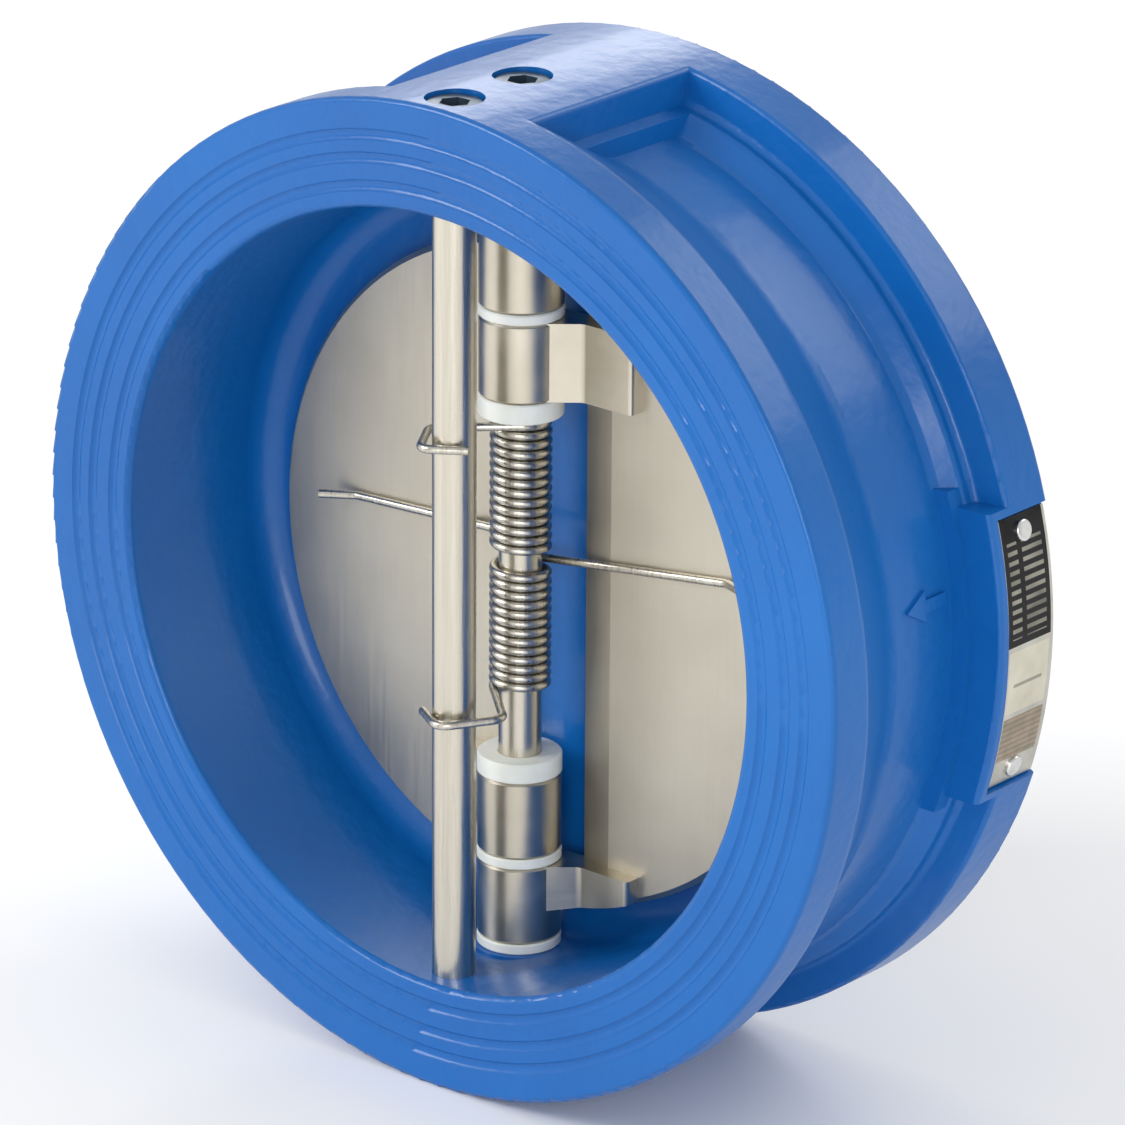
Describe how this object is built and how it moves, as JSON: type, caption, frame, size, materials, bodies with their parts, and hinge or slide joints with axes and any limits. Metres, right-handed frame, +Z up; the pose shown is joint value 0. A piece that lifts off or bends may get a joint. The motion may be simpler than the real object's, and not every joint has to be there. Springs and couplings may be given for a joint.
{
  "type": "wafer check valve",
  "caption": "Dual-plate wafer check valve: ring body between flanges, two spring-closed half-disc plates on a central hinge pin, stop pin in front.",
  "frame": {"origin": "on the bore axis, midway between the two flange faces", "axes": "+Y runs along the bore from outlet to inlet, +Z up along the hinge pin and stop pin, +X to the right of a viewer looking into the outlet"},
  "size_m": [0.222, 0.076, 0.222],
  "materials": {
    "blue_epoxy": "glossy epoxy coat over cast ductile iron",
    "seat_rubber": "satin moulded rubber",
    "plate_steel": "warm satin machined stainless plate",
    "lug_steel": "satin investment-cast stainless with turned barrels",
    "pin_steel": "ground stainless rod",
    "spring_steel": "drawn stainless spring wire",
    "ptfe": "waxy white thrust washer",
    "plug_steel": "black-oxide hexagon socket plug",
    "nameplate_metal": "etched plate with a black field and blank boxes",
    "rivet_aluminium": "dome-head drive rivets"
  },
  "bodies": {
    "root": {"body": "blue_epoxy", "right_seat_seal": "seat_rubber", "left_seat_seal": "seat_rubber", "hinge_pin": "pin_steel", "stop_pin": "pin_steel", "hinge_pin_gasket": "ptfe", "stop_pin_gasket": "ptfe", "hinge_pin_plug": "plug_steel", "stop_pin_plug": "plug_steel", "nameplate": "nameplate_metal", "nameplate_rivets": "rivet_aluminium", "top_bush": "ptfe", "upper_lug_washer": "ptfe", "upper_spring_washer": "ptfe", "lower_spring_washer": "ptfe", "lower_lug_washer": "ptfe", "bottom_washer": "ptfe", "upper_spring": "spring_steel", "lower_spring": "spring_steel"},
    "right_plate": {"right_plate": "plate_steel", "right_plate_outer_lug": "lug_steel", "right_plate_inner_lug": "lug_steel"},
    "left_plate": {"left_plate": "plate_steel", "left_plate_outer_lug": "lug_steel", "left_plate_inner_lug": "lug_steel"}
  },
  "joints": [
    {"name": "right_plate_swing", "type": "hinge", "parent": "root", "child": "right_plate", "pos_m": [0, -0.007, 0], "axis": [0, 0, -1], "range_deg": [0, 85], "stiffness_Nm_per_rad": 0.35, "springref_deg": -68.75, "deforming": ["lower_spring"]},
    {"name": "left_plate_swing", "type": "hinge", "parent": "root", "child": "left_plate", "pos_m": [0, -0.007, 0], "axis": [0, 0, 1], "range_deg": [0, 85], "stiffness_Nm_per_rad": 0.35, "springref_deg": -68.75, "deforming": ["upper_spring"]}
  ]
}
